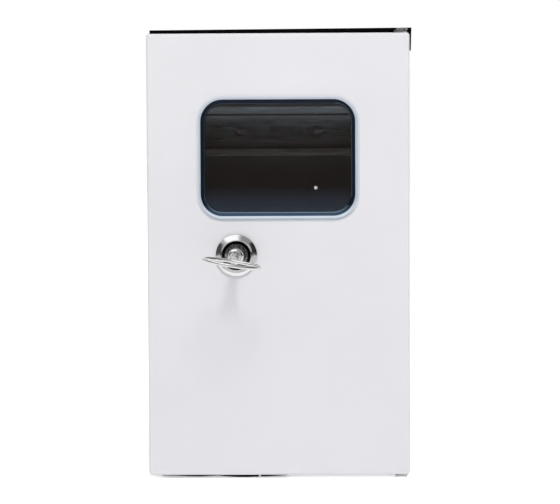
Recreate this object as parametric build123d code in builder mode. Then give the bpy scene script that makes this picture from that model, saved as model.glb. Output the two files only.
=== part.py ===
"""Wall-mounting sheet-metal electrical enclosure with a windowed, locking door.

Millimetres, +Z up, +X right as seen from the front, and the front faces -Y.
The origin is the centre of the back face, which lies on the wall at y = 0.
"""

import math
import os

from build123d import *

os.makedirs("parts", exist_ok=True)

# Box and door, outside sizes
box_w = 178.0
body_h = 304.0
body_d = 120.0
door_d = 15.0
door_gap = 5.0
ear_gap = 0.8
sheet = 1.2
body_bend_r = 2.0
door_bend_r = 1.8
door_corner_top_r = 2.0
door_corner_low_r = 2.8
body_flange = 15.0
lip_free = 12.0
lip_hinge = 14.0

# Holes and knock-outs of the body
wall_hole_d = 7.0
wall_hole_inset_x = 24.0
wall_hole_inset_z = 22.0
spare_hole_d = 2.6
spare_hole_pitch = 49.0
spare_hole_mid = 2.0
spare_hole_drop = 107.0
knockout_d = 22.5
knockout_groove = 0.5
knockout_skin = 0.4
knockout_tie = 3.0
knockout_x = 35.0

# Hinge: pivot pins through an ear above and an ear below the door
pivot_inset = 5.0
pivot_setback = 6.0
ear_w = 8.0
ear_in = 1.0
ear_front_gap = 1.0
pin_r = 1.5
run_fit = 0.05
pin_tail = 5.6
pin_head_r = 3.9
pin_head_h = 1.5
sunk_head_r = 2.7
clip_r = 3.4
clip_t = 0.6
hinge_washer_r = 3.6
hinge_washer_t = 0.6

# Seal strip on the front flange of the body
seal_t = 4.7
seal_w = 9.2
seal_side_inset = 1.2
seal_rise_left = 1.5
seal_rise_right = 2.45
seal_corner_out = 2.2
seal_corner_taper = 0.4
seal_corner_h = 13.0
seal_step_t = 3.9
seal_step_in = 3.8
seal_hinge_inset = 6.0
seal_drop = 1.6
seal_joint = 1.0
seal_joint_x = -14.0
seal_ear_clear = 0.2

# Window insert, snapped into the door with a ring behind
window_w = 105.2
window_h = 79.1
window_r = 15.0
window_drop = 84.2
rim = 2.4
rim_t = 1.0
collar_t = 2.4
collar_len = 7.2
pane_t = 2.0
pane_step = 0.7
fit = 0.1
gasket_t = 1.0
gasket_w = 3.2
frame_t = 3.0
frame_w = 7.0
snap_len = 12.0
snap_out = 0.9
snap_t = 0.9

# Cam lock
lock_inset = 60.4
lock_under_window = 26.25
lock_turned = 8.8
head_r = 14.0
head_h = 2.8
head_edge = 0.9
barrel_r = 11.0
barrel_flats = 20.0
barrel_hole_clear = 0.15
lock_washer_t = 0.8
recess_r = 9.3
recess_depth = 3.0
core_face_r = 8.7
core_face_t = 1.6
core_r = 7.0
socket_r = 4.3
socket_depth = 12.0
socket_pin_r = 1.4
key_slot_r = 6.0
key_slot_w = 4.2
nut_flats = 27.0
nut_t = 4.0
cam_t = 2.5
cam_grip = 6.6
cam_w = 15.0
cam_hub_r = 9.5
cam_gap = 0.6
square = 8.0
cam_washer_t = 1.2
cam_screw_r = 2.95
cam_screw_head = 4.0

# Key
key_tube_r = 3.4
key_collar_r = 5.6
key_collar_gap = 1.0
key_collar_out = 5.2
key_collar_round = 2.2
key_stem_r = 2.6
key_neck_r = 1.9
key_neck_len = 4.0
key_bore_r = 2.3
key_bit_r = 5.0
key_bit_t = 2.4
key_bit_len = 5.0
key_in = 5.5
key_bow_out = 46.0
key_bow_w = 40.0
key_bow_d = 26.0
key_wire_r = 1.2
key_droop = 4.4
key_yaw = 2.0

# Rail inside, and its brackets
rail_w = 35.0
rail_inner_w = 27.0
rail_d = 7.5
rail_t = 1.0
rail_side_gap = 19.0
rail_drop = 66.0
rail_front = 62.0
rail_slot_len = 15.0
rail_slot_w = 6.2
rail_slots = 5
bracket_t = 1.5
bracket_h = 20.0
bracket_end_gap = 20.0
bracket_front_len = 16.0
bracket_back_len = 18.0

# Fasteners
m5_r = 2.45
m5_flats = 8.0
m5_nut_t = 4.0
m6_r = 2.95
m6_flats = 10.0
m6_nut_t = 5.0
rail_head_r = 4.6
rail_head_h = 3.0
drive_w = 5.2
drive_slot = 1.0
drive_depth = 1.4
stud_out = 9.5
earth_stud_out = 19.8
earth_inset = 44.0
earth_rise = 34.0
door_earth_inset = 31.0
door_earth_rise = 32.0

# Places worked out from the sizes above
door_h = body_h - 2 * sheet - 2 * ear_gap
body_front = -body_d
lip_back = body_front - door_gap
door_front = lip_back - door_d
door_inside = door_front + sheet
pivot_x = box_w / 2 - pivot_inset
pivot_y = door_front + pivot_setback
opening_w = box_w - 2 * body_flange
opening_h = body_h - 2 * body_flange
ear_x = pivot_x - ear_in
ear_len = -(door_front + ear_front_gap) - body_d + 4.0
lock_x = lock_inset - box_w / 2
window_z = door_h / 2 - window_drop
lock_z = window_z - window_h / 2 - lock_under_window
cam_reach = opening_w / 2 + lock_x + cam_grip
rail_len = box_w - 2 * rail_side_gap
rail_z = body_h / 2 - rail_drop
bracket_x = rail_len / 2 - bracket_end_gap
rail_slot_pitch = 2 * bracket_x / (rail_slots - 1)
spare_hole_z = body_h / 2 - spare_hole_drop
earth_x = earth_inset - box_w / 2
earth_z = earth_rise - body_h / 2
door_earth_x = box_w / 2 - door_earth_inset
door_earth_z = door_earth_rise - door_h / 2
lock_top = door_front - lock_washer_t
cam_front = body_front + sheet + cam_gap
cam_back = cam_front + cam_t


def facing(y, x=0.0, z=0.0):
    """A plane at depth y, seen from the front: local x right, local y up, normal to the front."""
    return Plane(origin=(x, y, z), x_dir=(1, 0, 0), z_dir=(0, -1, 0))


def turned(y):
    """As facing, on the lock's axis and turned with its key and cam."""
    a = math.radians(lock_turned)
    across = (math.cos(a), 0, -math.sin(a))
    return Plane(origin=(lock_x, y, lock_z), x_dir=across, z_dir=(0, -1, 0))


def through(x, z):
    """A plane holding the line along Y at x, z: local x is the radius, local y is Y."""
    return Plane(origin=(x, 0, z), x_dir=(1, 0, 0), z_dir=(0, 0, 1))


def disc(x, z, back, front, r, hole=0.0):
    """A round piece along Y between two depths, with a hole if its radius is given."""
    with BuildPart() as piece:
        with BuildSketch(facing(back, x, z)):
            Circle(r)
            if hole > 0:
                Circle(hole, mode=Mode.SUBTRACT)
        extrude(amount=back - front)
    return piece.part


def hexagon(x, z, back, front, flats, hole=0.0):
    """A hexagon nut or head along Y between two depths, its corners eased at both faces."""
    with BuildPart() as piece:
        with BuildSketch(facing(back, x, z)):
            RegularPolygon(flats / 2, 6, major_radius=False)
            if hole > 0:
                Circle(hole, mode=Mode.SUBTRACT)
        extrude(amount=back - front)
        with BuildSketch(through(x, z)):
            reach = flats / math.sqrt(3)
            low = flats / 2
            ease = (reach - low) * 0.6
            with BuildLine():
                Polyline(
                    (0, front),
                    (low, front),
                    (reach + 0.1, front + ease),
                    (reach + 0.1, back - ease),
                    (low, back),
                    (0, back),
                    close=True,
                )
            make_face()
        revolve(axis=Axis((x, 0, z), (0, 1, 0)), mode=Mode.INTERSECT)
    return piece.part


# Body: one folded and welded sheet-steel shell, open at the front inside a return flange
with BuildPart() as body_cavity:
    with Locations((0, -body_d / 2, 0)):
        Box(box_w - 2 * sheet, body_d - 2 * sheet, body_h - 2 * sheet)
    fillet(body_cavity.edges(), body_bend_r - sheet)

with BuildPart() as enclosure_shell:
    with Locations((0, -body_d / 2, 0)):
        Box(box_w, body_d, body_h)
    fillet(enclosure_shell.edges(), body_bend_r)
    add(body_cavity.part, mode=Mode.SUBTRACT)
    with BuildSketch(facing(body_front + 2 * sheet)):
        RectangleRounded(opening_w, opening_h, sheet)
    extrude(amount=3 * sheet, mode=Mode.SUBTRACT)
    # Ears of the top and bottom wall, over and under the door's hinge corner
    for low in (body_h / 2 - sheet, -body_h / 2):
        with BuildSketch(Plane.XY.offset(low)):
            with Locations((ear_x, -body_d + 4.0 - ear_len / 2)):
                ear = Rectangle(ear_w, ear_len)
            fillet(ear.vertices().group_by(Axis.Y)[0], 3.5)
        extrude(amount=sheet)
    with Locations((pivot_x, pivot_y, 0)):
        Cylinder(pin_r + run_fit, body_h + 10, mode=Mode.SUBTRACT)
    with BuildSketch(Plane(origin=(pivot_x, pivot_y, 0), x_dir=(1, 0, 0), z_dir=(0, -1, 0))):
        with BuildLine():
            Polyline(
                (0, -body_h / 2 - 0.2),
                (sunk_head_r + run_fit, -body_h / 2 - 0.2),
                (sunk_head_r + run_fit, -body_h / 2),
                (pin_r + run_fit, -body_h / 2 + sheet),
                (0, -body_h / 2 + sheet),
                close=True,
            )
        make_face()
    revolve(axis=Axis((pivot_x, pivot_y, 0), (0, 0, 1)), mode=Mode.SUBTRACT)
    # Wall holes at the corners, and two spare holes behind the window
    wall_x = box_w - 2 * wall_hole_inset_x
    wall_z = body_h - 2 * wall_hole_inset_z
    with BuildSketch(facing(1.0)):
        with GridLocations(wall_x, wall_z, 2, 2):
            Circle(wall_hole_d / 2)
        with Locations((spare_hole_mid, spare_hole_z)):
            with GridLocations(spare_hole_pitch, 1, 2, 1):
                Circle(spare_hole_d / 2)
    extrude(amount=2.0 + sheet, mode=Mode.SUBTRACT)
    # Knock-outs in the bottom wall: a pressed groove with two ties each
    with BuildSketch(Plane.XY.offset(-body_h / 2)):
        with Locations((knockout_x, -body_d / 2), (-knockout_x, -body_d / 2)):
            Circle(knockout_d / 2)
            Circle(knockout_d / 2 - knockout_groove, mode=Mode.SUBTRACT)
            Rectangle(knockout_d + 2, knockout_tie, mode=Mode.SUBTRACT)
    extrude(amount=sheet - knockout_skin, mode=Mode.SUBTRACT)
enclosure_shell.part.label = "enclosure_shell"
export_step(enclosure_shell.part, "parts/enclosure_shell.step")

# Seal: a square foam strip stuck round the front flange, its top run laid a little high
seal_left = -box_w / 2 + seal_side_inset
seal_right = box_w / 2 - seal_hinge_inset
seal_low = -body_h / 2 + seal_drop
seal_top_left = body_h / 2 + seal_rise_left
seal_top_right = body_h / 2 + seal_rise_right
seal_outer = box_w / 2 + seal_corner_out
seal_leg_low = seal_top_right - seal_corner_h - seal_rise_right
with BuildPart() as door_seal:
    with BuildSketch(facing(body_front)):
        with BuildLine():
            Polyline(
                (seal_left, seal_low),
                (seal_left, seal_top_left),
                (seal_outer, seal_top_right),
                (seal_outer - seal_corner_taper, seal_leg_low),
                (seal_right, seal_leg_low),
                (seal_right, seal_low),
                close=True,
            )
        whole = make_face()
        fillet(whole.vertices().sort_by_distance((seal_left, body_front, seal_top_left))[0], 3.0)
        with BuildLine():
            Polyline(
                (seal_left + seal_w, seal_low + seal_w),
                (seal_left + seal_w, seal_top_left - seal_w),
                (seal_right - seal_w, seal_top_right - seal_w - 0.1),
                (seal_right - seal_w, seal_low + seal_w),
                close=True,
            )
        make_face(mode=Mode.SUBTRACT)
        with Locations((seal_joint_x, seal_low + seal_w / 2)):
            Rectangle(seal_joint, seal_w + 2, mode=Mode.SUBTRACT)
        with Locations((ear_x, body_h / 2 - sheet / 2)):
            Rectangle(ear_w + 2 * seal_ear_clear, sheet + 2 * seal_ear_clear, mode=Mode.SUBTRACT)
    extrude(amount=seal_t)
    # Stepped down beside the hinge, where the door's back corner swings past
    step_from = pivot_x - seal_step_in
    step_w = seal_outer - step_from + 2
    step_top = (body_h - sheet - ear_gap) / 2 + 0.3
    with BuildSketch(facing(body_front - seal_step_t)):
        with Locations((step_from + step_w / 2, step_top - body_h / 2)):
            Rectangle(step_w, body_h)
    extrude(amount=seal_t, mode=Mode.SUBTRACT)
door_seal.part.label = "door_seal"
export_step(door_seal.part, "parts/door_seal.step")

# Door: a shallow tray with its lips folded in behind
door_mid = (door_front + lip_back) / 2
with BuildPart() as door_cavity:
    with Locations((0, door_mid, 0)):
        Box(box_w - 2 * sheet, door_d - 2 * sheet, door_h - 2 * sheet)
    uprights = door_cavity.edges().filter_by(Axis.Y).group_by(Axis.Z)
    fillet(uprights[0], door_corner_low_r - sheet)
    uprights = door_cavity.edges().filter_by(Axis.Y).group_by(Axis.Z)
    fillet(uprights[-1], door_corner_top_r - sheet)
    fillet(door_cavity.faces().sort_by(Axis.Y)[0].edges(), door_bend_r - sheet)
    fillet(door_cavity.faces().sort_by(Axis.Y)[-1].edges(), door_bend_r - sheet)

with BuildPart() as door_panel:
    with Locations((0, door_mid, 0)):
        Box(box_w, door_d, door_h)
    uprights = door_panel.edges().filter_by(Axis.Y).group_by(Axis.Z)
    fillet(uprights[0], door_corner_low_r)
    uprights = door_panel.edges().filter_by(Axis.Y).group_by(Axis.Z)
    fillet(uprights[-1], door_corner_top_r)
    fillet(door_panel.faces().sort_by(Axis.Y)[0].edges(), door_bend_r)
    fillet(door_panel.faces().sort_by(Axis.Y)[-1].edges(), door_bend_r)
    add(door_cavity.part, mode=Mode.SUBTRACT)
    # The opening inside the lips
    with BuildSketch(facing(lip_back + 1)):
        with Locations(((lip_free - lip_hinge) / 2, 0)):
            Rectangle(box_w - lip_free - lip_hinge, door_h - 2 * lip_free)
    extrude(amount=2 + sheet, mode=Mode.SUBTRACT)
    # Window cut-out, lock hole with two flats, and the pivot holes
    with BuildSketch(facing(door_inside + 1)):
        with Locations((0, window_z)):
            RectangleRounded(window_w, window_h, window_r)
    extrude(amount=2 + sheet, mode=Mode.SUBTRACT)
    with BuildSketch(facing(door_inside + 1, lock_x, lock_z)):
        Circle(barrel_r + barrel_hole_clear)
        Rectangle(barrel_flats + 2 * barrel_hole_clear, 3 * barrel_r, mode=Mode.INTERSECT)
    extrude(amount=2 + sheet, mode=Mode.SUBTRACT)
    with Locations((pivot_x, pivot_y, 0)):
        Cylinder(pin_r + run_fit, door_h + 10, mode=Mode.SUBTRACT)
door_panel.part.label = "door_panel"
export_step(door_panel.part, "parts/door_panel.step")

# Hinge pins: the upper has a domed head on its ear, the lower a sunk head flush below
groove_r = pin_r - 0.35
clip_z = door_h / 2 - sheet - 1.0
tail_z = door_h / 2 - pin_tail
with BuildPart() as hinge_pin_upper:
    with BuildSketch(Plane(origin=(pivot_x, pivot_y, 0), x_dir=(1, 0, 0), z_dir=(0, -1, 0))):
        with BuildLine():
            Polyline(
                (0, tail_z),
                (pin_r - 0.4, tail_z),
                (pin_r, tail_z + 0.4),
                (pin_r, clip_z - clip_t - 0.1),
                (groove_r, clip_z - clip_t - 0.1),
                (groove_r, clip_z),
                (pin_r, clip_z),
                (pin_r, body_h / 2),
                (pin_head_r, body_h / 2),
                (pin_head_r, body_h / 2 + pin_head_h - 0.6),
            )
            ThreePointArc(
                (pin_head_r, body_h / 2 + pin_head_h - 0.6),
                (pin_head_r - 0.8, body_h / 2 + pin_head_h - 0.15),
                (pin_head_r - 2.0, body_h / 2 + pin_head_h),
            )
            Polyline(
                (pin_head_r - 2.0, body_h / 2 + pin_head_h),
                (0, body_h / 2 + pin_head_h),
                (0, tail_z),
            )
        make_face()
    revolve(axis=Axis((pivot_x, pivot_y, 0), (0, 0, 1)))
hinge_pin_upper.part.label = "hinge_pin_upper"
export_step(hinge_pin_upper.part, "parts/hinge_pin_upper.step")

with BuildPart() as hinge_pin_lower:
    with BuildSketch(Plane(origin=(pivot_x, pivot_y, 0), x_dir=(1, 0, 0), z_dir=(0, -1, 0))):
        with BuildLine():
            Polyline(
                (0, -tail_z),
                (pin_r - 0.4, -tail_z),
                (pin_r, -tail_z - 0.4),
                (pin_r, -clip_z + clip_t + 0.1),
                (groove_r, -clip_z + clip_t + 0.1),
                (groove_r, -clip_z),
                (pin_r, -clip_z),
                (pin_r, -body_h / 2 + sheet),
                (sunk_head_r, -body_h / 2),
                (0, -body_h / 2),
                close=True,
            )
        make_face()
    revolve(axis=Axis((pivot_x, pivot_y, 0), (0, 0, 1)))
hinge_pin_lower.part.label = "hinge_pin_lower"
export_step(hinge_pin_lower.part, "parts/hinge_pin_lower.step")

# Thin washers between each ear and the door
washer_mid = (body_h / 2 - sheet + door_h / 2) / 2
with BuildPart() as hinge_washers:
    with Locations((pivot_x, pivot_y, washer_mid), (pivot_x, pivot_y, -washer_mid)):
        Cylinder(hinge_washer_r, hinge_washer_t)
        Cylinder(pin_r + 0.1, hinge_washer_t, mode=Mode.SUBTRACT)
hinge_washers.part.label = "hinge_washers"
export_step(hinge_washers.part, "parts/hinge_washers.step")

# Spring clips in the pin grooves inside the door
with BuildPart() as hinge_clips:
    for low in (clip_z - clip_t - 0.05, -clip_z + 0.05):
        with BuildSketch(Plane(origin=(pivot_x, pivot_y, low), x_dir=(1, 0, 0), z_dir=(0, 0, 1))):
            Circle(clip_r)
            Circle(groove_r + 0.1, mode=Mode.SUBTRACT)
            with Locations((-clip_r / 2, 0)):
                Rectangle(clip_r + 0.2, 1.9, mode=Mode.SUBTRACT)
        extrude(amount=clip_t)
hinge_clips.part.label = "hinge_clips"
export_step(hinge_clips.part, "parts/hinge_clips.step")

# Window insert: rim on the door's face, collar through the cut-out and a pane set back a step
collar_w = window_w - 2 * fit
collar_h = window_h - 2 * fit
rim_front = door_front - rim_t
pane_front = rim_front + pane_step
pane_back = pane_front + pane_t
collar_back = rim_front + collar_len
clear_w = collar_w - 2 * collar_t
clear_h = collar_h - 2 * collar_t
with BuildPart() as window_pane:
    with BuildSketch(facing(door_front, 0, window_z)):
        RectangleRounded(window_w + 2 * rim, window_h + 2 * rim, window_r + rim)
    extrude(amount=rim_t)
    fillet(window_pane.faces().sort_by(Axis.Y)[0].edges(), 0.6)
    with BuildSketch(facing(collar_back, 0, window_z)):
        RectangleRounded(collar_w, collar_h, window_r - fit)
    extrude(amount=collar_len - 0.5)
    with BuildSketch(facing(pane_front, 0, window_z)):
        RectangleRounded(clear_w, clear_h, window_r - fit - collar_t)
    extrude(amount=pane_step + 1, mode=Mode.SUBTRACT)
    with BuildSketch(facing(collar_back + 1, 0, window_z)):
        RectangleRounded(clear_w, clear_h, window_r - fit - collar_t)
    extrude(amount=collar_back + 1 - pane_back, mode=Mode.SUBTRACT)
    # Snap lugs at the collar's end, behind the ring
    lug_x = collar_w / 2 - 0.4 + (snap_out + 0.4) / 2
    lug_z = collar_h / 2 - 0.4 + (snap_out + 0.4) / 2
    with BuildSketch(facing(collar_back, 0, window_z)):
        with Locations((collar_w / 4, lug_z), (-collar_w / 4, lug_z)):
            Rectangle(snap_len, snap_out + 0.4)
        with Locations((collar_w / 4, -lug_z), (-collar_w / 4, -lug_z)):
            Rectangle(snap_len, snap_out + 0.4)
        with Locations((lug_x, 0), (-lug_x, 0)):
            Rectangle(snap_out + 0.4, snap_len)
    extrude(amount=snap_t)
window_pane.part.label = "window_pane"
export_step(window_pane.part, "parts/window_pane.step")

# Gasket and clamping ring of the window, inside the door
hole_w = window_w + 2 * fit
hole_h = window_h + 2 * fit
with BuildPart() as window_gasket:
    with BuildSketch(facing(door_inside + gasket_t, 0, window_z)):
        RectangleRounded(hole_w + 2 * gasket_w, hole_h + 2 * gasket_w, window_r + gasket_w)
        RectangleRounded(hole_w, hole_h, window_r, mode=Mode.SUBTRACT)
    extrude(amount=gasket_t)
window_gasket.part.label = "window_gasket"
export_step(window_gasket.part, "parts/window_gasket.step")

with BuildPart() as window_frame:
    with BuildSketch(facing(door_inside + gasket_t + frame_t, 0, window_z)):
        RectangleRounded(hole_w + 2 * frame_w, hole_h + 2 * frame_w, window_r + frame_w)
        RectangleRounded(hole_w, hole_h, window_r, mode=Mode.SUBTRACT)
    extrude(amount=frame_t)
    frame_back = window_frame.faces().sort_by(Axis.Y)[-1]
    chamfer(frame_back.outer_wire().edges(), 0.8)
window_frame.part.label = "window_frame"
export_step(window_frame.part, "parts/window_frame.step")

# Lock housing: domed head on the door's face and a flatted barrel through it
barrel_back = cam_front - cam_gap - 0.2
recess_floor = lock_top - head_h + recess_depth - 0.8
crest = lock_top - head_h
with BuildPart() as lock_housing:
    with BuildSketch(through(lock_x, lock_z)):
        with BuildLine():
            Polyline(
                (core_r + run_fit, barrel_back),
                (barrel_r - 0.6, barrel_back),
                (barrel_r, barrel_back - 0.6),
                (barrel_r, lock_top),
                (head_r, lock_top),
                (head_r, lock_top - head_edge),
            )
            TangentArc((recess_r + 0.7, crest), (head_r, lock_top - head_edge), tangent=(1, 0.2))
            Polyline(
                (recess_r + 0.7, crest),
                (recess_r, crest + 0.7),
                (recess_r, recess_floor),
                (core_r + run_fit, recess_floor),
                (core_r + run_fit, barrel_back),
            )
        make_face()
    revolve(axis=Axis((lock_x, 0, lock_z), (0, 1, 0)))
    # Flats on the barrel
    flat_depth = barrel_r - barrel_flats / 2
    flat_len = barrel_back - lock_top
    flat_mid = (barrel_back + lock_top) / 2
    flat_at = barrel_flats / 2 + flat_depth
    with Locations((lock_x + flat_at, flat_mid, lock_z), (lock_x - flat_at, flat_mid, lock_z)):
        Box(2 * flat_depth, flat_len, 2 * barrel_r + 2, mode=Mode.SUBTRACT)
lock_housing.part.label = "lock_housing"
export_step(lock_housing.part, "parts/lock_housing.step")

# Rubber washer under the head, and the hexagon nut inside the door
with BuildPart() as lock_washer:
    add(disc(lock_x, lock_z, door_front, lock_top, head_r - 0.4, barrel_r + fit))
lock_washer.part.label = "lock_washer"
export_step(lock_washer.part, "parts/lock_washer.step")

with BuildPart() as lock_nut:
    add(hexagon(lock_x, lock_z, door_inside + nut_t, door_inside, nut_flats, barrel_r + run_fit))
lock_nut.part.label = "lock_nut"
export_step(lock_nut.part, "parts/lock_nut.step")

# Lock core: the face, the body in the barrel, the socket for the key and the square for the cam
core_front = recess_floor - core_face_t
socket_floor = core_front + socket_depth
with BuildPart() as lock_core:
    with BuildSketch(through(lock_x, lock_z)):
        with BuildLine():
            Polyline(
                (0, core_front),
                (core_r - 0.7, core_front),
                (core_r - 0.5, core_front + 0.3),
                (core_r + 0.1, core_front + 0.3),
                (core_r + 0.3, core_front),
                (core_face_r - 0.4, core_front),
                (core_face_r, core_front + 0.4),
                (core_face_r, recess_floor),
                (core_r, recess_floor),
                (core_r, cam_front),
                (0, cam_front),
                close=True,
            )
        make_face()
    revolve(axis=Axis((lock_x, 0, lock_z), (0, 1, 0)))
    with BuildSketch(turned(cam_back - 0.2)):
        Rectangle(square, square)
    extrude(amount=cam_t - 0.2)
    with BuildSketch(turned(socket_floor)):
        Circle(socket_r)
        Rectangle(2 * key_slot_r, key_slot_w)
        Circle(socket_pin_r, mode=Mode.SUBTRACT)
    extrude(amount=socket_depth + 1, mode=Mode.SUBTRACT)
    with BuildSketch(turned(core_front - 0.5)):
        Circle(socket_pin_r + 0.2)
    extrude(amount=-1.5, mode=Mode.SUBTRACT)
    with BuildSketch(turned(cam_back)):
        Circle(cam_screw_r + run_fit)
    extrude(amount=9.5, mode=Mode.SUBTRACT)
lock_core.part.label = "lock_core"
export_step(lock_core.part, "parts/lock_core.step")

# Cam, its washer and its screw
with BuildPart() as lock_cam:
    with BuildSketch(turned(cam_back)):
        Circle(cam_hub_r)
        with Locations((0, -(cam_reach - cam_w / 4) / 2)):
            Rectangle(cam_w, cam_reach - cam_w / 4)
        with Locations((0, -cam_reach + cam_w / 2)):
            RectangleRounded(cam_w, cam_w, cam_w / 4)
        Rectangle(square + 2 * fit, square + 2 * fit, mode=Mode.SUBTRACT)
    extrude(amount=cam_t)
lock_cam.part.label = "lock_cam"
export_step(lock_cam.part, "parts/lock_cam.step")

washer_back = cam_back + cam_washer_t
with BuildPart() as cam_washer:
    add(disc(lock_x, lock_z, washer_back, cam_back, core_r, cam_screw_r + fit))
cam_washer.part.label = "cam_washer"
export_step(cam_washer.part, "parts/cam_washer.step")

with BuildPart() as cam_screw:
    add(disc(lock_x, lock_z, washer_back + 0.5, washer_back - 8.5, cam_screw_r))
    add(hexagon(lock_x, lock_z, washer_back + cam_screw_head, washer_back, m6_flats))
cam_screw.part.label = "cam_screw"
export_step(cam_screw.part, "parts/cam_screw.step")

# Key: tube with two bits, and an oval wire bow; it droops a little in the socket
key_out = Vector(-math.tan(math.radians(key_yaw)), -1, -math.tan(math.radians(key_droop))).normalized()
bow_side = turned(0).x_dir
key_across = (bow_side - key_out * bow_side.dot(key_out)).normalized()
key_mid = (lock_x, core_front + key_in, lock_z)
key_plane = Plane(origin=key_mid, x_dir=key_across, z_dir=key_out)
bow_plane = Plane(origin=key_mid, x_dir=key_across, z_dir=key_across.cross(key_out))
bow_near = key_bow_out - key_bow_d / 2
collar_end = key_in + key_collar_out

# The bow's oval is drawn with two end arcs and two side arcs, tangent where they meet
oval_w = key_bow_w / 2 - key_wire_r
oval_d = key_bow_d / 2 - key_wire_r
end_r = 0.45 * oval_w
end_at = oval_w - end_r
side_at = (end_at**2 - (oval_d - end_r) ** 2) / (2 * (oval_d - end_r))
side_r = oval_d + side_at
meet_x = end_at * side_r / (side_r - end_r)
meet_y = side_at * side_r / (side_r - end_r) - side_at
with BuildPart() as key:
    with BuildSketch(bow_plane):
        with BuildLine():
            Polyline(
                (key_bore_r, -key_in),
                (key_tube_r, -key_in),
                (key_tube_r, key_in + key_collar_gap),
                (key_collar_r, key_in + key_collar_gap),
                (key_collar_r, collar_end - key_collar_round),
            )
            TangentArc(
                (key_collar_r, collar_end - key_collar_round),
                (key_collar_r - key_collar_round, collar_end),
                tangent=(0, 1),
            )
            Polyline(
                (key_collar_r - key_collar_round, collar_end),
                (key_stem_r, collar_end),
                (key_stem_r, bow_near - key_neck_len),
                (key_neck_r, bow_near),
                (key_neck_r, bow_near + 1.5 * key_wire_r),
                (0, bow_near + 1.5 * key_wire_r),
                (0, key_in + key_bore_r),
                (key_bore_r, key_in + 1.0),
                (key_bore_r, -key_in),
            )
        make_face()
    revolve(axis=Axis(key_mid, key_out))
    for side in (-1, 1):
        with BuildSketch(key_plane.offset(-key_in)):
            with Locations((side * (key_tube_r + key_bit_r - 0.6) / 2, 0)):
                Rectangle(key_bit_r - key_tube_r + 0.6, key_bit_t)
        extrude(amount=key_bit_len)
    with BuildLine(bow_plane) as bow:
        ThreePointArc(
            (-meet_x, key_bow_out + meet_y), (0, key_bow_out + oval_d), (meet_x, key_bow_out + meet_y)
        )
        ThreePointArc(
            (meet_x, key_bow_out + meet_y), (oval_w, key_bow_out), (meet_x, key_bow_out - meet_y)
        )
        ThreePointArc(
            (meet_x, key_bow_out - meet_y), (0, key_bow_out - oval_d), (-meet_x, key_bow_out - meet_y)
        )
        ThreePointArc(
            (-meet_x, key_bow_out - meet_y), (-oval_w, key_bow_out), (-meet_x, key_bow_out + meet_y)
        )
    with BuildSketch(Plane(origin=bow.wire() @ 0, z_dir=bow.wire() % 0)):
        Circle(key_wire_r)
    sweep(path=bow.wire())
key.part.label = "key"
export_step(key.part, "parts/key.step")

# Rail for clipping devices on, with slots along its floor
rail_floor = -rail_front + rail_d
with BuildPart() as din_rail:
    with BuildSketch(Plane(origin=(-rail_len / 2, 0, rail_z), x_dir=(0, 1, 0), z_dir=(1, 0, 0))):
        half = rail_w / 2
        inner = rail_inner_w / 2
        with BuildLine():
            Polyline(
                (-rail_front, half),
                (-rail_front, inner - rail_t),
                (rail_floor - rail_t, inner - rail_t),
                (rail_floor - rail_t, -inner + rail_t),
                (-rail_front, -inner + rail_t),
                (-rail_front, -half),
                (-rail_front + rail_t, -half),
                (-rail_front + rail_t, -inner),
                (rail_floor, -inner),
                (rail_floor, inner),
                (-rail_front + rail_t, inner),
                (-rail_front + rail_t, half),
                close=True,
            )
        make_face()
    extrude(amount=rail_len)
    with BuildSketch(facing(rail_floor + 1, 0, rail_z)):
        with GridLocations(rail_slot_pitch, 1, rail_slots, 1):
            SlotOverall(rail_slot_len, rail_slot_w)
    extrude(amount=2 + rail_t, mode=Mode.SUBTRACT)
din_rail.part.label = "din_rail"
export_step(din_rail.part, "parts/din_rail.step")

# Brackets: each bent from strip, one foot on the back wall and one under the rail
foot_x = bracket_x + bracket_front_len / 2
web_x = bracket_x - bracket_front_len / 2
stud_x = web_x + bracket_t - bracket_back_len / 2


def bracket(side):
    """The strip's outline seen from above, drawn at the right and mirrored by side."""
    with BuildPart() as piece:
        with BuildSketch(Plane.XY.offset(rail_z - bracket_h / 2)):
            with BuildLine():
                Polyline(
                    (side * foot_x, rail_floor),
                    (side * web_x, rail_floor),
                    (side * web_x, -sheet - bracket_t),
                    (side * (web_x + bracket_t - bracket_back_len), -sheet - bracket_t),
                    (side * (web_x + bracket_t - bracket_back_len), -sheet),
                    (side * (web_x + bracket_t), -sheet),
                    (side * (web_x + bracket_t), rail_floor + bracket_t),
                    (side * foot_x, rail_floor + bracket_t),
                    close=True,
                )
            outline = make_face()
            bends = outline.vertices().sort_by_distance((side * web_x, rail_floor, 0))[:1]
            fillet(bends, bracket_t)
            bends = outline.vertices().sort_by_distance((side * (web_x + bracket_t), -sheet, 0))[:1]
            fillet(bends, bracket_t)
        extrude(amount=bracket_h)
        with BuildSketch(facing(0, 0, rail_z)):
            with Locations((side * bracket_x, 0), (side * stud_x, 0)):
                Circle(m5_r + 0.15)
        extrude(amount=rail_front, mode=Mode.SUBTRACT)
    return piece.part


rail_bracket_left = bracket(-1)
rail_bracket_left.label = "rail_bracket_left"
export_step(rail_bracket_left, "parts/rail_bracket_left.step")

rail_bracket_right = bracket(1)
rail_bracket_right.label = "rail_bracket_right"
export_step(rail_bracket_right, "parts/rail_bracket_right.step")

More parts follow.
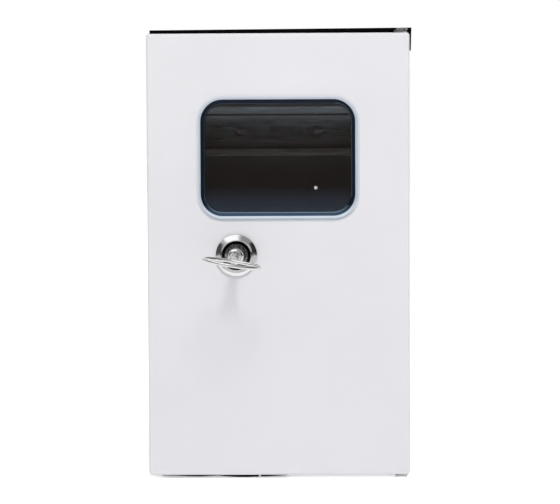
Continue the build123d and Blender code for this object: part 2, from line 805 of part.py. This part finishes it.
# Screws through the rail's slots, with their nuts
rail_screw_end = rail_floor + bracket_t + m5_nut_t + 2.0
with BuildPart() as rail_screws:
    for side in (-1, 1):
        add(disc(side * bracket_x, rail_z, rail_screw_end, rail_floor - rail_t - 0.5, m5_r))
        head_back = rail_floor - rail_t
        add(disc(side * bracket_x, rail_z, head_back, head_back - rail_head_h, rail_head_r))
        with BuildSketch(facing(head_back - rail_head_h + drive_depth, side * bracket_x, rail_z)):
            Rectangle(drive_w, drive_slot)
            Rectangle(drive_slot, drive_w)
        extrude(amount=2 * drive_depth, mode=Mode.SUBTRACT)
rail_screws.part.label = "rail_screws"
export_step(rail_screws.part, "parts/rail_screws.step")

with BuildPart() as rail_nuts:
    for side in (-1, 1):
        nut_front = rail_floor + bracket_t
        add(hexagon(side * bracket_x, rail_z, nut_front + m5_nut_t, nut_front, m5_flats, m5_r + 0.03))
rail_nuts.part.label = "rail_nuts"
export_step(rail_nuts.part, "parts/rail_nuts.step")

# Welded studs that hold the brackets, with their nuts
with BuildPart() as bracket_studs:
    for side in (-1, 1):
        add(disc(side * stud_x, rail_z, -sheet, -sheet - stud_out, m5_r))
bracket_studs.part.label = "bracket_studs"
export_step(bracket_studs.part, "parts/bracket_studs.step")

with BuildPart() as bracket_nuts:
    for side in (-1, 1):
        nut_back = -sheet - bracket_t
        add(hexagon(side * stud_x, rail_z, nut_back, nut_back - m5_nut_t, m5_flats, m5_r + 0.03))
bracket_nuts.part.label = "bracket_nuts"
export_step(bracket_nuts.part, "parts/bracket_nuts.step")

# Earth stud of the body, welded to the back wall, with two nuts and two washers
collar_y = -sheet - 1.0
with BuildPart() as earth_stud:
    add(disc(earth_x, earth_z, -sheet, collar_y, 5.0))
    add(disc(earth_x, earth_z, collar_y + 0.5, -sheet - earth_stud_out, m6_r))
earth_stud.part.label = "earth_stud"
export_step(earth_stud.part, "parts/earth_stud.step")

first_nut = collar_y - cam_washer_t
second_washer = first_nut - m6_nut_t
second_nut = second_washer - cam_washer_t
with BuildPart() as earth_washers:
    add(disc(earth_x, earth_z, collar_y, first_nut, 6.0, m6_r + 0.2))
    add(disc(earth_x, earth_z, second_washer, second_nut, 6.0, m6_r + 0.2))
earth_washers.part.label = "earth_washers"
export_step(earth_washers.part, "parts/earth_washers.step")

with BuildPart() as earth_nuts:
    add(hexagon(earth_x, earth_z, first_nut, second_washer, m6_flats, m6_r + 0.03))
    add(hexagon(earth_x, earth_z, second_nut, second_nut - m6_nut_t, m6_flats, m6_r + 0.03))
earth_nuts.part.label = "earth_nuts"
export_step(earth_nuts.part, "parts/earth_nuts.step")

# Earth stud of the door, welded to its inside face
door_collar = door_inside + 0.8
with BuildPart() as door_earth_stud:
    add(disc(door_earth_x, door_earth_z, door_collar, door_inside, 4.0))
    add(disc(door_earth_x, door_earth_z, lip_back - 3.0, door_collar - 0.4, m5_r))
door_earth_stud.part.label = "door_earth_stud"
export_step(door_earth_stud.part, "parts/door_earth_stud.step")

with BuildPart() as door_earth_washer:
    add(disc(door_earth_x, door_earth_z, door_collar + 1.0, door_collar, 5.0, m5_r + 0.2))
door_earth_washer.part.label = "door_earth_washer"
export_step(door_earth_washer.part, "parts/door_earth_washer.step")

with BuildPart() as door_earth_nut:
    nut_low = door_collar + 1.0
    add(hexagon(door_earth_x, door_earth_z, nut_low + m5_nut_t, nut_low, m5_flats, m5_r + 0.03))
door_earth_nut.part.label = "door_earth_nut"
export_step(door_earth_nut.part, "parts/door_earth_nut.step")
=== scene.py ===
import math

import bmesh
import bpy
from mathutils import Matrix, Vector


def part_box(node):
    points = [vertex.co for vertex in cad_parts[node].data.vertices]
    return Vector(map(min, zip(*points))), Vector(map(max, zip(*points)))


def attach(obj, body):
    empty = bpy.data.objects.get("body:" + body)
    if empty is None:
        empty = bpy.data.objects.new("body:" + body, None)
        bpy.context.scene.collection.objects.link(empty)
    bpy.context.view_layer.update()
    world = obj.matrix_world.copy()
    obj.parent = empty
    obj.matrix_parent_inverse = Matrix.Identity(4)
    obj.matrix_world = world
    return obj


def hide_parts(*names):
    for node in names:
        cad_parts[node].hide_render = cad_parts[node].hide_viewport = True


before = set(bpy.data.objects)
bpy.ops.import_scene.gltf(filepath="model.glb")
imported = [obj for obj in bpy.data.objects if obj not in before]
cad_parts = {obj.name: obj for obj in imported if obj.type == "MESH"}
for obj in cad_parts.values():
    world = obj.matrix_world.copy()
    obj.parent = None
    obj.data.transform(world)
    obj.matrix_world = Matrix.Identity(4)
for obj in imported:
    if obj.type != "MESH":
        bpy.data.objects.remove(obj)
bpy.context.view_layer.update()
bpy.ops.object.select_all(action="DESELECT")

# The camera stands about 1.2 m in front of the door, a little above its middle and a touch
# to the right, and looks slightly down at it through a long lens.
eye = Vector((0.0154, -1.340, 0.0500))
aim = Vector((0.00095, -0.1400, 0.0021))
roll = math.radians(-0.27)
camera_data = bpy.data.cameras.new("photo_camera")
camera_data.sensor_width = 36.0
camera_data.lens = 113.9
camera_data.clip_start = 0.05
camera_data.clip_end = 50.0
camera = bpy.data.objects.new("photo_camera", camera_data)
bpy.context.scene.collection.objects.link(camera)
towards = (aim - eye).to_track_quat("-Z", "Y").to_matrix().to_4x4()
camera.matrix_world = Matrix.Translation(eye) @ towards @ Matrix.Rotation(roll, 4, "Z")
bpy.context.scene.camera = camera
bpy.context.scene.view_settings.view_transform = "Standard"

# The studio: a bright white room, a large softbox high in front that throws the key's
# shadow straight down the door, and cards round the box for its chrome and window to
# mirror. No card but the floor and the far wall is seen by the camera.
room_strength = 0.53
backdrop_strength = 1.0
world = bpy.data.worlds.new("studio_air")
bpy.context.scene.world = world
world.use_nodes = True
air = world.node_tree.nodes["Background"]
air.inputs["Color"].default_value = (1.0, 1.0, 1.0, 1.0)


def ranged(tree, value, start, stop, low=0.0, high=1.0):
    """Turns a value between start and stop into one between low and high."""
    ramp = tree.nodes.new("ShaderNodeMapRange")
    ramp.inputs["From Min"].default_value = start
    ramp.inputs["From Max"].default_value = stop
    ramp.inputs["To Min"].default_value = low
    ramp.inputs["To Max"].default_value = high
    tree.links.new(value, ramp.inputs["Value"])
    return ramp


# The backdrop is burnt out to white behind the box, and the room itself is dimmer
ray = world.node_tree.nodes.new("ShaderNodeLightPath")
level = ranged(world.node_tree, ray.outputs["Is Camera Ray"], 0, 1, room_strength, backdrop_strength)
world.node_tree.links.new(level.outputs["Result"], air.inputs["Strength"])


def softbox(name, where, target, width, height, watts, colour, mirrored=False):
    light = bpy.data.lights.new(name, "AREA")
    light.shape = "RECTANGLE"
    light.size = width
    light.size_y = height
    light.energy = watts
    light.color = colour
    stand = bpy.data.objects.new(name, light)
    bpy.context.scene.collection.objects.link(stand)
    turn = (Vector(target) - Vector(where)).to_track_quat("-Z", "Y").to_matrix().to_4x4()
    stand.matrix_world = Matrix.Translation(Vector(where)) @ turn
    stand.visible_camera = False
    stand.visible_glossy = mirrored


def strip_light(name, where, target, width, height, watts, colour):
    """Lights the inside of the box along x, from one place to another, each given as (y, z)."""
    softbox(name, (0, *where), (0, *target), width, height, watts, colour, mirrored=True)


softbox("high_softbox", (0.14, -1.15, 1.25), (0, -0.14, 0), 0.45, 0.45, 12.0, (1.0, 0.99, 0.97))
# Four faint strips stand for the light that comes in by the window: two for the rail's
# flanges, one for its upper bend, and one for the back wall behind its slots
strip_light("glow_high", (-0.118, 0.107), (-0.062, 0.1015), 0.13, 0.004, 0.0074, (0.80, 0.93, 1.0))
strip_light("glow_low", (-0.118, 0.062), (-0.062, 0.0705), 0.13, 0.004, 0.0048, (1.0, 0.92, 0.84))
strip_light("glow_bend", (-0.0590, 0.0962), (-0.0545, 0.0994), 0.138, 0.0008, 0.00009, (0.9, 0.97, 1.0))
strip_light("glow_behind", (-0.010, 0.0876), (0, 0.0876), 0.135, 0.003, 0.0006, (1.0, 1.0, 1.0))


def shader_of(material):
    return material.node_tree.nodes["Principled BSDF"]


def studio_card(name, size, where, turn, colour, glow):
    bpy.ops.mesh.primitive_plane_add(size=1, location=where, rotation=turn)
    card = bpy.context.object
    card.name = name
    card.scale = (size[0], size[1], 1)
    bpy.ops.object.transform_apply(location=True, rotation=True, scale=True)
    paint = bpy.data.materials.new(name + "_paint")
    paint.use_nodes = True
    shader = shader_of(paint)
    shader.inputs["Base Color"].default_value = (*colour, 1)
    shader.inputs["Roughness"].default_value = 0.9
    shader.inputs["Specular IOR Level"].default_value = 0.0
    shader.inputs["Emission Color"].default_value = (1, 1, 1, 1)
    shader.inputs["Emission Strength"].default_value = glow
    card.data.materials.append(paint)
    bpy.ops.object.select_all(action="DESELECT")
    return card


flat = (0, 0, 0)
facing_sideways = (0, math.pi / 2, 0)
facing_door = (math.pi / 2, 0, 0)
black = (0.004, 0.004, 0.004)
pale = (0.9, 0.9, 0.9)
floor_z = -0.1522
floor_glow = 0.25
floor = studio_card("studio_floor", (60, 60), (0, 0, floor_z), flat, pale, floor_glow)
# It is burnt out to white as the backdrop is, but for the soft shadow close to the box
shadow_reach = 0.14
burnt_reach = 0.35
shadow_glow = 0.42
burnt_glow = 0.70
floor_tree = floor.data.materials[0].node_tree
floor_ray = floor_tree.nodes.new("ShaderNodeLightPath")
floor_place = floor_tree.nodes.new("ShaderNodeTexCoord")
far = floor_tree.nodes.new("ShaderNodeVectorMath")
far.operation = "LENGTH"
floor_tree.links.new(floor_place.outputs["Object"], far.inputs[0])
burnt = ranged(floor_tree, far.outputs["Value"], shadow_reach, burnt_reach, shadow_glow, burnt_glow)
seen = ranged(floor_tree, floor_ray.outputs["Is Camera Ray"], 0, 1, floor_glow)
floor_tree.links.new(burnt.outputs["Result"], seen.inputs["To Max"])
floor_shader = shader_of(floor.data.materials[0])
floor_tree.links.new(seen.outputs["Result"], floor_shader.inputs["Emission Strength"])
# The ceiling is white on the left and fades to grey over the lock
white_until_x = -0.08
grey_from_x = 0.30
ceiling_white = 1.22
ceiling_grey = 0.30
ceiling = studio_card("ceiling", (2.46, 2.4), (0.23, -1.35, 1.1), flat, black, ceiling_white)
ceiling_tree = ceiling.data.materials[0].node_tree
ceiling_place = ceiling_tree.nodes.new("ShaderNodeTexCoord")
ceiling_parts = ceiling_tree.nodes.new("ShaderNodeSeparateXYZ")
ceiling_tree.links.new(ceiling_place.outputs["Object"], ceiling_parts.inputs["Vector"])
ceiling_x = ceiling_parts.outputs["X"]
fade = ranged(ceiling_tree, ceiling_x, white_until_x, grey_from_x, ceiling_white, ceiling_grey)
fade.interpolation_type = "SMOOTHSTEP"
ceiling_shader = shader_of(ceiling.data.materials[0])
ceiling_tree.links.new(fade.outputs["Result"], ceiling_shader.inputs["Emission Strength"])
for card in (
    studio_card("left_flag", (0.75, 1.5), (-1.0, -1.0, 0.32), facing_sideways, black, 0.06),
    studio_card("right_flag", (0.95, 1.5), (1.0, -1.0, 0.42), facing_sideways, black, 0.02),
    studio_card("front_flag", (2.4, 0.52), (0, -1.9, -0.095), facing_door, black, 0),
    ceiling,
    studio_card("table_grey", (2.4, 1.8), (0, -1.15, -0.14), flat, black, 0.62),
):
    card.visible_camera = False
    card.visible_diffuse = False
    card.visible_shadow = False
# Far behind, a small glowing patch of wall, seen only by the camera through the right spare hole, makes
# a painted highlight there
painted_glint_patch = studio_card("painted_glint_patch", (0.12, 0.12), (0.047, 2.5, 0.036), facing_door, pale, 2.2)
painted_glint_patch.visible_diffuse = False
painted_glint_patch.visible_glossy = False
painted_glint_patch.visible_shadow = False


# Body of the box: 1.2 mm steel folded and welded, then powder coated a cool off-white.
# The coat has the fine orange peel of baked powder and a few faint cloudy patches.
def new_finish(name, colour, roughness, metallic=0.0):
    finish = bpy.data.materials.new(name)
    finish.use_nodes = True
    shader = shader_of(finish)
    shader.inputs["Base Color"].default_value = (*colour, 1)
    shader.inputs["Roughness"].default_value = roughness
    shader.inputs["Metallic"].default_value = metallic
    return finish


def place_of(finish, stretch=(1, 1, 1)):
    """The place on the piece, stretched along each axis."""
    tree = finish.node_tree
    coordinates = tree.nodes.new("ShaderNodeTexCoord")
    mapping = tree.nodes.new("ShaderNodeMapping")
    mapping.inputs["Scale"].default_value = stretch
    tree.links.new(coordinates.outputs["Object"], mapping.inputs["Vector"])
    return mapping.outputs["Vector"]


def parts_of(finish, place):
    """Splits a place into its x, y and z."""
    parts = finish.node_tree.nodes.new("ShaderNodeSeparateXYZ")
    finish.node_tree.links.new(place, parts.inputs["Vector"])
    return parts.outputs


def noise_on(finish, place, scale, detail=3.0, rough=0.5):
    noise = finish.node_tree.nodes.new("ShaderNodeTexNoise")
    noise.inputs["Scale"].default_value = scale
    noise.inputs["Detail"].default_value = detail
    noise.inputs["Roughness"].default_value = rough
    finish.node_tree.links.new(place, noise.inputs["Vector"])
    return noise.outputs["Fac"]


# Most of what a noise texture gives lies in this range
noise_range = (0.3, 0.7)


def tint(finish, value, dark, light, between=noise_range):
    """Blends two colours by a value that runs over the range between."""
    tree = finish.node_tree
    ramp = tree.nodes.new("ShaderNodeValToRGB")
    ramp.color_ramp.elements[0].position = between[0]
    ramp.color_ramp.elements[0].color = (*dark, 1)
    ramp.color_ramp.elements[1].position = between[1]
    ramp.color_ramp.elements[1].color = (*light, 1)
    tree.links.new(value, ramp.inputs["Fac"])
    tree.links.new(ramp.outputs["Color"], shader_of(finish).inputs["Base Color"])


def vary_gloss(finish, value, low, high):
    """Lets a noise set the roughness between two values."""
    ramp = ranged(finish.node_tree, value, *noise_range, low, high)
    finish.node_tree.links.new(ramp.outputs["Result"], shader_of(finish).inputs["Roughness"])


def relief(finish, value, height, strength):
    tree = finish.node_tree
    bump = tree.nodes.new("ShaderNodeBump")
    bump.inputs["Distance"].default_value = height
    bump.inputs["Strength"].default_value = strength
    tree.links.new(value, bump.inputs["Height"])
    tree.links.new(bump.outputs["Normal"], shader_of(finish).inputs["Normal"])


def recolour(finish, first, second, colour):
    """Gives another colour where two values, each (value, from, to), have both been reached."""
    tree = finish.node_tree
    both = tree.nodes.new("ShaderNodeMath")
    both.operation = "MULTIPLY"
    for side, (value, start, stop) in enumerate((first, second)):
        tree.links.new(ranged(tree, value, start, stop).outputs["Result"], both.inputs[side])
    blend = tree.nodes.new("ShaderNodeMix")
    blend.data_type = "RGBA"
    first_colour, second_colour = blend.inputs[6], blend.inputs[7]
    second_colour.default_value = (*colour, 1)
    base = shader_of(finish).inputs["Base Color"]
    tree.links.new(both.outputs["Value"], blend.inputs["Factor"])
    tree.links.new(base.links[0].from_socket, first_colour)
    tree.links.new(blend.outputs[2], base)


def wear(node, finish):
    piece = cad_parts[node]
    piece.data.materials.clear()
    piece.data.materials.append(finish)


powder = new_finish("off_white_powder_coat", (0.75, 0.75, 0.785), 0.38)
powder_place = place_of(powder)
tint(powder, noise_on(powder, powder_place, 14, 4), (0.735, 0.735, 0.772), (0.76, 0.76, 0.797))
vary_gloss(powder, noise_on(powder, powder_place, 90, 5), 0.34, 0.44)
relief(powder, noise_on(powder, powder_place, 900, 2, 0.6), 0.00006, 0.5)
# The hinge ears stick out over the door's ends, and their fronts are painted dark grey as painted shade
painted_ear_shade = (0.10, 0.10, 0.095)
powder_parts = parts_of(powder, powder_place)
above_door = (powder_parts["Z"], 0.1506, 0.1509)
before_flange = (powder_parts["Y"], -0.1202, -0.1212)
recolour(powder, above_door, before_flange, painted_ear_shade)
shader_of(powder).inputs["Coat Weight"].default_value = 0.12
shader_of(powder).inputs["Coat Roughness"].default_value = 0.25
wear("enclosure_shell", powder)

# Seal: a black closed-cell foam strip, stuck by hand round the body's front flange. It
# is matt, and its cut cells make it grainy all over.
foam = new_finish("black_cell_foam", (0.002, 0.002, 0.002), 0.95)
shader_of(foam).inputs["Specular IOR Level"].default_value = 0.05
foam_place = place_of(foam)
tint(foam, noise_on(foam, foam_place, 700), (0.0006, 0.0006, 0.0008), (0.004, 0.004, 0.004))
relief(foam, noise_on(foam, foam_place, 1500, 3, 0.7), 0.0002, 0.8)
wear("door_seal", foam)

# Rail and brackets: cold-rolled and bent steel strip with bright zinc plating, whose
# grain runs along the rail. The lock's cam has the same plating.


def zinc_plate(name):
    zinc = new_finish(name, (0.60, 0.62, 0.65), 0.34, 1.0)
    grain = place_of(zinc, (0.06, 1, 1))
    tint(zinc, noise_on(zinc, grain, 420, 5), (0.40, 0.42, 0.45), (0.66, 0.68, 0.71))
    vary_gloss(zinc, noise_on(zinc, grain, 900), 0.26, 0.40)
    relief(zinc, noise_on(zinc, grain, 1500, 2), 0.00001, 0.5)
    return zinc


bright_zinc = zinc_plate("bright_zinc")
for node in ("rail_bracket_left", "rail_bracket_right", "lock_cam"):
    wear(node, bright_zinc)
# Inside the rail's lower bend the zinc is painted darker, as painted shade
painted_shade_zinc = (0.27, 0.26, 0.25)
rail_zinc = zinc_plate("rail_zinc")
rail_parts = parts_of(rail_zinc, place_of(rail_zinc))
low_on_rail = (rail_parts["Z"], 0.0788, 0.0758)
behind_flange = (rail_parts["Y"], -0.0616, -0.0610)
recolour(rail_zinc, low_on_rail, behind_flange, painted_shade_zinc)
wear("din_rail", rail_zinc)

# Screws, nuts, studs, washers and hinge pins: turned and pressed steel, plated a little
# yellower and duller than the strip.
fixing = new_finish("plated_fixing", (0.60, 0.60, 0.58), 0.32, 1.0)
fixing_place = place_of(fixing)
tint(fixing, noise_on(fixing, fixing_place, 500), (0.50, 0.50, 0.48), (0.66, 0.66, 0.63))
vary_gloss(fixing, noise_on(fixing, fixing_place, 1200), 0.24, 0.42)
for node in (
    "rail_screws", "rail_nuts", "bracket_studs", "bracket_nuts", "earth_stud", "earth_nuts",
    "earth_washers", "lock_nut", "cam_washer", "cam_screw", "door_earth_stud",
    "door_earth_nut", "door_earth_washer", "hinge_pin_upper", "hinge_pin_lower",
):
    wear(node, fixing)

# Blanking plug: a small pale nylon plug, pushed into the left spare hole from inside. Its
# shank stands in the hole of the back wall, and its low head lies on the wall's face.
shank_middle = (-0.0225, -0.00065, 0.045)
shank_radius = 0.00125
shank_length = 0.0011
head_gap = 0.00003
head_overhang = 0.0006
head_thick = 0.0003
dome_slope = 0.0005
dome_rise = 0.0002
nylon_plug = new_finish("pale_nylon", (0.85, 0.87, 0.84), 0.3)
tint(nylon_plug, noise_on(nylon_plug, place_of(nylon_plug), 900), (0.80, 0.83, 0.80), (0.90, 0.92, 0.89))


def pick(mode, wanted):
    """Selects the edges or faces of the piece in edit mode that a test of each one picks."""
    bpy.ops.mesh.select_mode(type=mode)
    bpy.ops.mesh.select_all(action="DESELECT")
    mesh = bmesh.from_edit_mesh(bpy.context.object.data)
    for part in mesh.edges if mode == "EDGE" else mesh.faces:
        if wanted(part):
            part.select_set(True)
    mesh.select_flush_mode()
    bmesh.update_edit_mesh(bpy.context.object.data)


def extrude(x=0.0, y=0.0):
    """Pulls the selected faces out along x or y."""
    bpy.ops.mesh.extrude_region_move(TRANSFORM_OT_translate={"value": (x, y, 0)})


bpy.ops.mesh.primitive_cylinder_add(vertices=32, radius=shank_radius, depth=shank_length,
                                    location=shank_middle, rotation=(math.pi / 2, 0, 0))
plug = bpy.context.object
plug.name = "blanking_plug"
bpy.ops.object.transform_apply(location=True, rotation=True, scale=True)
bpy.ops.object.mode_set(mode="EDIT")
pick("FACE", lambda face: face.normal.y < -0.9)
extrude(y=-head_gap)
bpy.ops.mesh.inset(thickness=head_overhang, use_outset=True)
extrude(y=-head_thick)
bpy.ops.mesh.inset(thickness=dome_slope)
bpy.ops.transform.translate(value=(0, -dome_rise, 0))
bpy.ops.object.mode_set(mode="OBJECT")
bpy.ops.object.shade_smooth_by_angle(angle=math.radians(40))
plug.data.materials.append(nylon_plug)
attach(plug, "enclosure")
bpy.ops.object.select_all(action="DESELECT")

# Hinge washers and clips: turned washers of natural nylon between the door and the ears,
# and blued spring-steel clips that snap into the pins' grooves inside the door.
nylon = new_finish("natural_nylon", (0.72, 0.71, 0.67), 0.45)
tint(nylon, noise_on(nylon, place_of(nylon), 400), (0.66, 0.65, 0.60), (0.74, 0.73, 0.69))
wear("hinge_washers", nylon)
spring = new_finish("blued_spring_steel", (0.10, 0.10, 0.11), 0.35, 1.0)
tint(spring, noise_on(spring, place_of(spring), 900), (0.07, 0.07, 0.08), (0.14, 0.14, 0.15))
wear("hinge_clips", spring)

# Door: a shallow steel tray with folded lips, coated in the same powder as the body and
# hung on the two pins.
wear("door_panel", powder)

# Foam under the door: a thin strip of the seal's black foam beneath the lower lip, in two wavy
# lengths that stop short of the hinge side. It stands in for the shade under the door's lower edge, as
# painted shade.
foam_top = -0.15002
foam_middle_y = -0.1323
foam_depth = 0.0105
first_slice = 0.0002


def foam_strip(name, profile):
    """Pulls a strip along x through places given as (x, thickness)."""
    start, thick = profile[0]
    bpy.ops.mesh.primitive_cube_add(size=1, location=(start, foam_middle_y, foam_top - thick / 2))
    strip = bpy.context.object
    strip.name = name
    strip.scale = (first_slice, foam_depth, thick)
    bpy.ops.object.transform_apply(location=True, rotation=True, scale=True)
    bpy.ops.object.mode_set(mode="EDIT")
    pick("FACE", lambda face: face.normal.x > 0.9)
    for x, wanted in profile[1:]:
        extrude(x=x - start)
        bpy.ops.transform.resize(value=(1, 1, wanted / thick),
                                 center_override=(x, foam_middle_y, foam_top))
        start, thick = x, wanted
    bpy.ops.object.mode_set(mode="OBJECT")
    bpy.ops.object.shade_smooth_by_angle(angle=math.radians(40))
    soft = strip.modifiers.new("soft_edges", "BEVEL")
    soft.width = 0.00015
    soft.segments = 2
    soft.angle_limit = math.radians(50)
    bpy.ops.object.modifier_apply(modifier="soft_edges")
    strip.data.materials.append(foam)
    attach(strip, "door")
    bpy.ops.object.select_all(action="DESELECT")


foam_strip("door_shade_foam_long", (
    (-0.0800, 0.0005), (-0.0700, 0.0007), (-0.0620, 0.0011), (-0.0540, 0.0012),
    (-0.0470, 0.0008), (-0.0420, 0.0006), (-0.0370, 0.0011), (-0.0300, 0.0016),
    (-0.0220, 0.0017), (-0.0170, 0.0015), (-0.0144, 0.0015),
))
foam_strip("door_shade_foam_short", (
    (-0.0128, 0.0013), (-0.0080, 0.0012), (-0.0020, 0.0009), (0.0050, 0.0004),
))

# Window: one clear moulding with a thin rim on the door's face, a collar through the
# cut-out and a smoked pane set back a step; the white door shows through its rim.
low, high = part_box("window_pane")
middle_z = (low[2] + high[2]) / 2
corner_radius = 0.0174
door_face_y = -0.1400
rim_rise = 0.001
rim_edge_w = 0.0011
rim_w = 0.0024
band_w = 0.0022
line_w = 0.00045
gap_w = 0.0005
pane_step = 0.0007
collar_play = 0.0001
collar_length = 0.0062
collar_wall = 0.0024
hollow_depth = 0.0045
bpy.ops.mesh.primitive_cube_add(size=1, location=(0, door_face_y - rim_rise / 2, middle_z))
moulding = bpy.context.object
moulding.name = "window_moulding"
moulding.scale = (high[0] - low[0], rim_rise, high[2] - low[2])
bpy.ops.object.transform_apply(location=True, rotation=True, scale=True)
bpy.ops.object.mode_set(mode="EDIT")


def along_y(edge):
    run = edge.verts[0].co - edge.verts[1].co
    return abs(run.y) > 0.9 * run.length


pick("EDGE", along_y)
bpy.ops.mesh.bevel(offset_type="OFFSET", offset=corner_radius, segments=14, affect="EDGES")
pick("FACE", lambda face: face.normal.y < -0.9)
bpy.ops.mesh.inset(thickness=rim_edge_w)
bpy.ops.mesh.inset(thickness=rim_w - rim_edge_w)
# The opening sits a little to the left and above the middle of the rim
bpy.ops.transform.resize(value=(0.9954, 1, 0.9965))
bpy.ops.transform.translate(value=(-0.00022, 0, 0.00012))
bpy.ops.mesh.inset(thickness=band_w)
bpy.ops.mesh.inset(thickness=line_w)
bpy.ops.mesh.inset(thickness=gap_w)
extrude(y=pane_step)
pick("FACE", lambda face: face.normal.y > 0.9)
bpy.ops.mesh.inset(thickness=rim_w + collar_play)
extrude(y=collar_length)
bpy.ops.mesh.inset(thickness=collar_wall)
extrude(y=-hollow_depth)
bpy.ops.object.mode_set(mode="OBJECT")
bpy.ops.object.shade_smooth_by_angle(angle=math.radians(35))
ease = moulding.modifiers.new("eased_edges", "BEVEL")
ease.width = 0.00025
ease.segments = 3
ease.limit_method = "ANGLE"
ease.angle_limit = math.radians(50)
ease.harden_normals = True
bpy.ops.object.modifier_apply(modifier="eased_edges")


def clear_plastic(name, alpha, dark, light, reach=0.012, roughness=0.05, bending=1.58):
    """A clear plastic, painted lighter towards the window's bottom as painted light, where it looks up
    at the room.
    """
    plastic = new_finish(name, dark, roughness)
    shader_of(plastic).inputs["Alpha"].default_value = alpha
    shader_of(plastic).inputs["IOR"].default_value = bending
    height = parts_of(plastic, place_of(plastic))["Z"]
    rise = ranged(plastic.node_tree, height, low[2], low[2] + reach)
    tint(plastic, rise.outputs["Result"], light, dark, between=(0.3, 0.9))
    return plastic


# The window's colours are partly painted light: the rim's grey-blue is partly its own tint and partly
# painted shade beside the collar, its outer edge is a painted highlight above and a painted shadow line
# below, the deep edge's dark navy is painted shade inside the collar, and the bright line is a painted
# highlight on the collar's inner edge.
window_plastics = {
    "rim": clear_plastic("window_rim", 0.8, (0.595, 0.645, 0.74), (0.78, 0.88, 0.98)),
    "band": clear_plastic("window_deep_edge_painted_shade", 0.94, (0.007, 0.012, 0.022), (0.050, 0.085, 0.135),
                          bending=1.25),
    "pane": clear_plastic("smoked_pane", 0.58, (0.006, 0.003, 0.0015), (0.028, 0.038, 0.056),
                          reach=0.025),
    "line": clear_plastic("window_painted_highlight_line", 0.9, (0.05, 0.063, 0.078), (0.26, 0.34, 0.43)),
    "rim_edge": clear_plastic("window_rim_edge", 0.8, (0.785, 0.835, 0.91), (0.50, 0.57, 0.66)),
    "gap": clear_plastic("pane_step_shadow", 0.9, (0.001, 0.0015, 0.002), (0.025, 0.045, 0.07),
                         roughness=0.5, bending=1.1),
}
for plastic in window_plastics.values():
    moulding.data.materials.append(plastic)
half_w = (high[0] - low[0]) / 2
half_h = (high[2] - low[2]) / 2
edge_margin = 0.0003
front_margin = 0.0001


def part_of_window(place):
    """The part of the moulding that a place on it belongs to."""
    across = abs(place.x) - (half_w - corner_radius)
    up = abs(place.z - middle_z) - (half_h - corner_radius)
    past_corner = math.hypot(max(across, 0), max(up, 0)) + min(max(across, up), 0)
    inward = corner_radius - past_corner
    on_front = place.y < door_face_y + front_margin
    if inward > rim_w + band_w + line_w + gap_w + edge_margin:
        return "pane"
    if inward > rim_w + band_w + line_w + edge_margin and on_front:
        return "gap"
    if inward > rim_w + band_w + edge_margin and on_front:
        return "line"
    if inward > rim_w + edge_margin or not on_front:
        return "band"
    return "rim_edge" if inward < rim_edge_w else "rim"


for face in moulding.data.polygons:
    face.material_index = list(window_plastics).index(part_of_window(face.center))
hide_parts("window_pane")
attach(moulding, "door")
bpy.ops.object.select_all(action="DESELECT")

# Gasket and clamping ring of the window: a die-cut rubber gasket under a moulded black
# plastic ring. The washer behind the lock's head is of the same rubber.
rubber = new_finish("black_rubber", (0.02, 0.02, 0.02), 0.7)
tint(rubber, noise_on(rubber, place_of(rubber), 800), (0.014, 0.014, 0.014), (0.03, 0.03, 0.03))
wear("window_gasket", rubber)
wear("lock_washer", rubber)
moulded = new_finish("moulded_black_plastic", (0.03, 0.03, 0.032), 0.5)
moulded_place = place_of(moulded)
relief(moulded, noise_on(moulded, moulded_place, 1600, 2), 0.00005, 0.6)
vary_gloss(moulded, noise_on(moulded, moulded_place, 300, 2), 0.42, 0.58)
wear("window_frame", moulded)

# Lock: a chromed die-cast housing with a domed head, held by its nut from inside, and a
# chromed core that turns in it. The head's recess and the core's outer rim are painted black, as painted
# shade.
painted_shade_black = (0.02, 0.02, 0.02)
chrome = new_finish("bright_chrome", (0.80, 0.80, 0.81), 0.07, 1.0)
chrome_place = place_of(chrome)
tint(chrome, noise_on(chrome, chrome_place, 500), (0.78, 0.78, 0.79), (0.82, 0.82, 0.83))
vary_gloss(chrome, noise_on(chrome, chrome_place, 500), 0.10, 0.20)
relief(chrome, noise_on(chrome, chrome_place, 350, 1), 0.00003, 0.3)
core_low, core_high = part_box("lock_core")
core_x = (core_low[0] + core_high[0]) / 2
core_z = (core_low[2] + core_high[2]) / 2


def lock_radius(finish):
    """The distance from the lock's axis."""
    from_axis = place_of(finish, (1, 0, 1))
    from_axis.node.inputs["Location"].default_value = (-core_x, 0, -core_z)
    reach = finish.node_tree.nodes.new("ShaderNodeVectorMath")
    reach.operation = "LENGTH"
    finish.node_tree.links.new(from_axis, reach.inputs[0])
    return reach.outputs["Value"]


# The head's chrome is painted black inside the recess, as painted shade
inside_head = (lock_radius(chrome), 0.0100, 0.0097)
near_face = (parts_of(chrome, chrome_place)["Y"], -0.1380, -0.1390)
recolour(chrome, inside_head, near_face, painted_shade_black)
wear("lock_housing", chrome)
core_plate = new_finish("core_chrome", (0.50, 0.50, 0.51), 0.14, 1.0)
vary_gloss(core_plate, noise_on(core_plate, place_of(core_plate), 700), 0.10, 0.22)
# The core's outer rim is painted black, as painted shade
core_rim = ranged(core_plate.node_tree, lock_radius(core_plate), 0.0074, 0.0080)
tint(core_plate, core_rim.outputs["Result"], (0.46, 0.46, 0.47), painted_shade_black, between=(0, 1))
wear("lock_core", core_plate)

# Key: a turned steel tube with two bits and an oval wire bow, nickel plated all over. It
# droops a little in the core's socket, and its bow lies nearly level across the lock.
nickel = new_finish("nickel_plate", (0.88, 0.87, 0.87), 0.20, 1.0)
vary_gloss(nickel, noise_on(nickel, place_of(nickel), 700), 0.14, 0.28)
wear("key", nickel)
